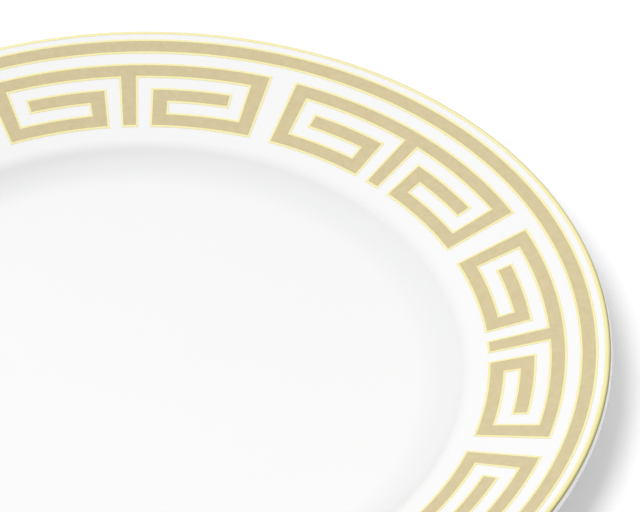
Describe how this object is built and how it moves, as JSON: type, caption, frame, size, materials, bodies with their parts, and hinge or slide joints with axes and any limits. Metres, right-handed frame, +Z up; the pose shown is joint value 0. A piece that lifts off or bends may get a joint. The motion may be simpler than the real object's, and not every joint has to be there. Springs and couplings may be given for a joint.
{
  "type": "dinner plate",
  "caption": "Round white porcelain dinner plate with a sloping rim, a sunken flat well, a gilt Greek key border and a gold edge, standing on a turned foot ring.",
  "frame": {"origin": "centre of the foot ring, on the table", "axes": "+Z up along the plate's axis, +Y through the stem of the first key"},
  "size_m": [0.27, 0.27, 0.0217],
  "materials": {
    "biscuit_porcelain": "matt fired porcelain, bare only on the foot ring",
    "white_glaze": "clear glossy glaze over white porcelain",
    "satin_gold": "pale satin gold print, fired over the glaze",
    "bright_gold": "bright burnished gold line"
  },
  "bodies": {
    "root": {"china_body": "biscuit_porcelain", "glaze_coat": "white_glaze", "base_glaze": "white_glaze", "lip_gilding": "bright_gold", "border_band": "satin_gold", "band_outer_line": "bright_gold", "band_inner_line": "bright_gold", "key_fill_1": "satin_gold", "key_fill_2": "satin_gold", "key_fill_3": "satin_gold", "key_fill_4": "satin_gold", "key_fill_5": "satin_gold", "key_fill_6": "satin_gold", "key_fill_7": "satin_gold", "key_fill_8": "satin_gold", "key_line_1": "bright_gold", "key_line_2": "bright_gold", "key_line_3": "bright_gold", "key_line_4": "bright_gold", "key_line_5": "bright_gold", "key_line_6": "bright_gold", "key_line_7": "bright_gold", "key_line_8": "bright_gold"}
  },
  "joints": []
}
